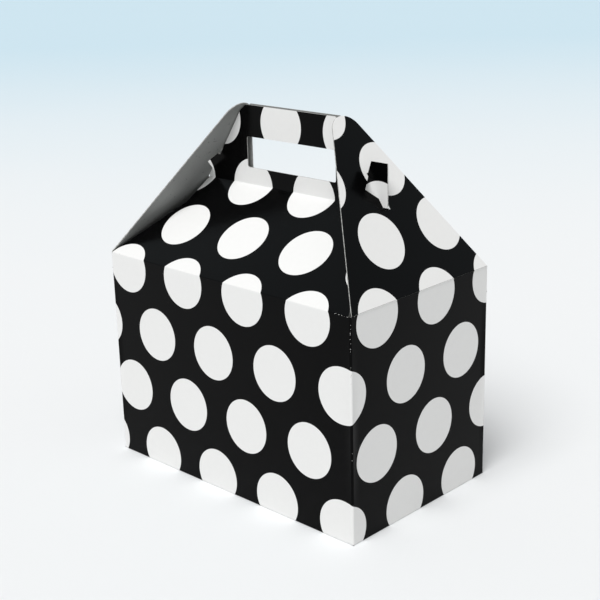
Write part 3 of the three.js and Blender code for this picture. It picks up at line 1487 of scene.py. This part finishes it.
@dataclass
class EndCreases:
    """The bulge of board over the crease between each end wall and its flap."""

    sizes: BoxSizes
    steps: int = 40
    sides: int = 10

    def numbers(self) -> dict[str, float]:
        """Lists the sizes that the tree takes.

        Returns:
            The tree's number inputs by name.
        """
        s = self.sizes
        return {
            "Bead Radius": s.crease_bead,
            "Sheet Height": s.wall_height,
            "Length": s.length,
            "Width": s.width,
        }

    def tree(self) -> ShapeGraph:
        """Builds the tree: a thin round bead along each path, with the sheet's coordinates.

        Returns:
            The tree.
        """
        graph = ShapeGraph("crease_bead", self.numbers())
        circle = {"Resolution": self.sides, "Radius": graph.given("Bead Radius")}
        ring = graph.add("GeometryNodeCurvePrimitiveCircle", {"mode": "RADIUS"}, circle)
        inputs = {"Curve": graph.curve(), "Profile Curve": ring, "Fill Caps": True}
        bead = graph.add("GeometryNodeCurveToMesh", None, inputs)
        # The right bead lies past the front wall along the sheet, and the left bead before it.
        x, y, _ = graph.axes(graph.add("GeometryNodeInputPosition"))
        hand = x.sign()
        half = graph.given("Width") * 0.5
        along = y * hand + (hand * 0.5 + 0.5) * (graph.given("Length") + half * 2) - half
        inputs = {"X": along, "Y": graph.given("Sheet Height")}
        place = graph.add("ShaderNodeCombineXYZ", None, inputs)
        settings = {"data_type": "FLOAT2", "domain": "CORNER"}
        inputs = {"Geometry": bead, "Name": "sheet", "Value": place}
        graph.end(graph.add("GeometryNodeStoreNamedAttribute", settings, inputs))
        return graph

    def build(self, finishes: Finishes) -> bpy.types.Object:
        """Builds both beads as one piece.

        Args:
            finishes: The materials.

        Returns:
            The finished piece.
        """
        s = self.sizes
        x = s.hinge_x - s.crease_bead
        half = s.width / 2 - s.corner_radius
        run = levels(-half, half, 2 * half / self.steps)
        paths = [[Vector((side.value * x, y, s.wall_height)) for y in run] for side in Side]
        values = {**self.numbers(), "Finish": finishes.dotted}
        piece = self.tree().run("end_crease_beads", paths, values)
        piece.data.shade_smooth()
        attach(piece, "carton")
        return piece


@dataclass
class FoldWear:
    """Small chips along the folds, where the print has flaked off."""

    sizes: BoxSizes
    seed: int = 7
    spacing: float = 0.35 * MM
    share: float = 0.34
    chip: float = 0.24 * MM
    chip_levels: int = 2
    smallest: float = 0.35
    shapes: tuple[Triple, Triple] = ((0.5, 0.5, 0.8), (1.0, 1.0, 2.4))
    scatter: float = 0.16 * MM
    corner_inset: float = 0.40 * MM
    crease_inset: float = 0.16 * MM
    crease_drop: float = 0.12 * MM
    flap_inset: float = 0.25 * MM

    def numbers(self) -> dict[str, float | int]:
        """Lists the sizes, the share and the seed that the tree takes.

        Returns:
            The tree's number inputs by name.
        """
        return {
            "Spacing": self.spacing,
            "Share": self.share,
            "Chip Radius": self.chip,
            "Scatter": self.scatter,
            "Seed": self.seed,
        }

    def tree(self) -> ShapeGraph:
        """Builds the tree: chips of random size at some of the points along each path.

        Returns:
            The tree.
        """
        graph = ShapeGraph("fold_wear", self.numbers())
        seed = graph.given("Seed")
        inputs = {"Curve": graph.curve(), "Length": graph.given("Spacing")}
        points = graph.add("GeometryNodeCurveToPoints", {"mode": "LENGTH"}, inputs)
        spread = graph.random("FLOAT_VECTOR", {0: (-1, -1, -1), 1: (1, 1, 1), "Seed": seed}, 0)
        inputs = {"Geometry": points, "Offset": graph.scaled(spread, graph.given("Scatter"))}
        moved = graph.add("GeometryNodeSetPosition", None, inputs)
        chance = {"Probability": graph.given("Share"), "Seed": seed + 1}
        chosen = graph.random("BOOLEAN", chance, 3)
        shape = graph.random(
            "FLOAT_VECTOR", {0: self.shapes[0], 1: self.shapes[1], "Seed": seed + 2}, 0)
        # The size is cubed, so that most chips are small and a few are large.
        size = graph.random("FLOAT", {2: self.smallest, 3: 1.0, "Seed": seed + 3}, 1)
        inputs = {"Radius": graph.given("Chip Radius"), "Subdivisions": self.chip_levels}
        ball = graph.add("GeometryNodeMeshIcoSphere", None, inputs)
        graph.end(graph.add("GeometryNodeInstanceOnPoints", None, {
            "Points": moved,
            "Selection": chosen,
            "Instance": ball,
            "Rotation": graph.again(points, "Rotation"),
            "Scale": graph.scaled(shape, size * size * size),
        }))
        return graph

    def paths(self) -> list[list[Vector]]:
        """Lists the worn stretches of the folds, just under the printed face.

        Returns:
            The two ends of each stretch.
        """
        s = self.sizes
        x = s.length / 2 - self.corner_inset
        y = s.width / 2 - self.corner_inset
        crease_y = s.width / 2 - self.crease_inset
        flap_x = s.hinge_x - self.flap_inset
        top = s.wall_height
        low = top - self.crease_drop
        # Numbers below 1 are shares of the way from the middle of the box or from the ground.
        stretches = [
            ((x, -y, top - 2 * MM), (x, -y, 0.70 * top)),
            ((x, -y, 0.42 * top), (x, -y, 0.38 * top)),
            ((0.80 * x, -crease_y, low), (0.96 * x, -crease_y, low)),
            ((0.88 * x, -crease_y, low), (x, -crease_y, low)),
            ((-x, -crease_y, low), (-0.90 * x, -crease_y, low)),
            ((-x, -y, 0.98 * top), (-x, -y, 0.86 * top)),
            ((flap_x, -y, top), (flap_x, -0.72 * y, top)),
            ((flap_x, 0.80 * y, top), (flap_x, y, top)),
            ((x, y, 0.98 * top), (x, y, 0.88 * top)),
        ]
        return [[Vector(start), Vector(end)] for start, end in stretches]

    def build(self, finishes: Finishes) -> bpy.types.Object:
        """Builds the chips as one piece.

        Args:
            finishes: The materials.

        Returns:
            The finished piece.
        """
        values = {**self.numbers(), "Finish": finishes.chip}
        piece = self.tree().run("fold_wear_chips", self.paths(), values)
        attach(piece, "carton")
        return piece


# The studio


@dataclass
class Studio:
    """Camera, floor, one soft lamp and a pale background.

    The camera's place and turn were solved from the box's corners in the photograph, for an image
    of 600 by 600 pixels.
    """

    camera_place: Triple = (0.51244, -0.52382, 0.34627)
    heading: float = math.radians(44.11)
    pitch: float = math.radians(18.056)
    roll: float = math.radians(-1.468)
    focal_pixels: float = 1256.04
    image_pixels: float = 600.0
    sensor: float = 36.0
    clip_start: float = 0.01
    floor_half: float = 6.0
    sun_from: Triple = (0.14, -0.42, 0.731)
    sun_strength: float = 2.69
    sun_angle: float = math.radians(40)
    sky: float = 0.36
    sky_colour: Colour = (1.0, 1.0, 1.0, 1.0)
    backdrop: Colour = (0.74, 0.82, 0.86, 1.0)

    def add_camera(self) -> None:
        """Adds the camera at the photograph's view."""
        data = bpy.data.cameras.new("camera")
        data.sensor_fit = "HORIZONTAL"
        data.sensor_width = self.sensor
        data.lens = self.sensor * self.focal_pixels / self.image_pixels
        data.clip_start = self.clip_start
        camera = add_object("camera", data)
        turn = (
            Matrix.Rotation(self.heading, 4, "Z")
            @ Matrix.Rotation(math.pi / 2 - self.pitch, 4, "X")
            @ Matrix.Rotation(self.roll, 4, "Z")
        )
        camera.matrix_world = Matrix.Translation(self.camera_place) @ turn
        bpy.context.scene.camera = camera

    def add_floor(self, finishes: Finishes) -> None:
        """Adds the plain floor.

        Args:
            finishes: The materials.
        """
        mesh = bpy.data.meshes.new("floor")
        half = self.floor_half
        corners = [(-half, -half, 0), (half, -half, 0), (half, half, 0), (-half, half, 0)]
        mesh.from_pydata(corners, [], [(0, 1, 2, 3)])
        mesh.materials.append(finishes.floor)
        floor = add_object("floor", mesh)

    def add_sun(self) -> None:
        """Adds the one broad, soft lamp high in front of the box."""
        data = bpy.data.lights.new("soft_sun", "SUN")
        data.energy = self.sun_strength
        data.angle = self.sun_angle
        lamp = add_object("soft_sun", data)
        lamp.rotation_euler = Vector(self.sun_from).to_track_quat("Z", "Y").to_euler()

    def add_world(self) -> None:
        """Sets a pale background, and a weaker white one that lights the box softly."""
        world = bpy.data.worlds.new("studio")
        bpy.context.scene.world = world
        world.use_nodes = True
        graph = Graph(world.node_tree)
        seen = 0.0
        for ray in ("Is Camera Ray", "Is Glossy Ray", "Is Transmission Ray"):
            seen = graph.add("ShaderNodeLightPath", None, None, ray) + seen
        kind = "ShaderNodeBackground"
        soft = graph.add(kind, None, {"Color": self.sky_colour, "Strength": self.sky})
        shown = graph.add(kind, None, {"Color": self.backdrop, "Strength": 1.0})
        inputs = {0: seen.least(1.0), 1: soft, 2: shown}
        mixed = graph.add("ShaderNodeMixShader", None, inputs)
        graph.close("ShaderNodeOutputWorld", "Surface", mixed)

    def build(self, finishes: Finishes) -> None:
        """Builds the studio.

        Args:
            finishes: The materials.
        """
        self.add_camera()
        self.add_floor(finishes)
        self.add_world()
        self.add_sun()
        bpy.context.scene.view_settings.view_transform = "Standard"


def report(piece: bpy.types.Object) -> None:
    """Logs a finished piece and its number of triangles.

    Args:
        piece: The piece.
    """
    piece.data.calc_loop_triangles()
    LOG.info("%s: %d triangles", piece.name, len(piece.data.loop_triangles))


def main() -> None:
    """Builds the box and the studio."""
    logging.basicConfig(level=logging.INFO, format="%(name)s: %(message)s")
    sizes = BoxSizes.from_frame()
    finishes = Finishes.build()
    report(CartonSheet(sizes).build(finishes))
    for side in Side:
        report(EndFlap(sizes, side).build(finishes))
    report(EndCreases(sizes).build(finishes))
    report(FoldWear(sizes).build(finishes))
    Studio().build(finishes)


if __name__ == "__main__":
    main()
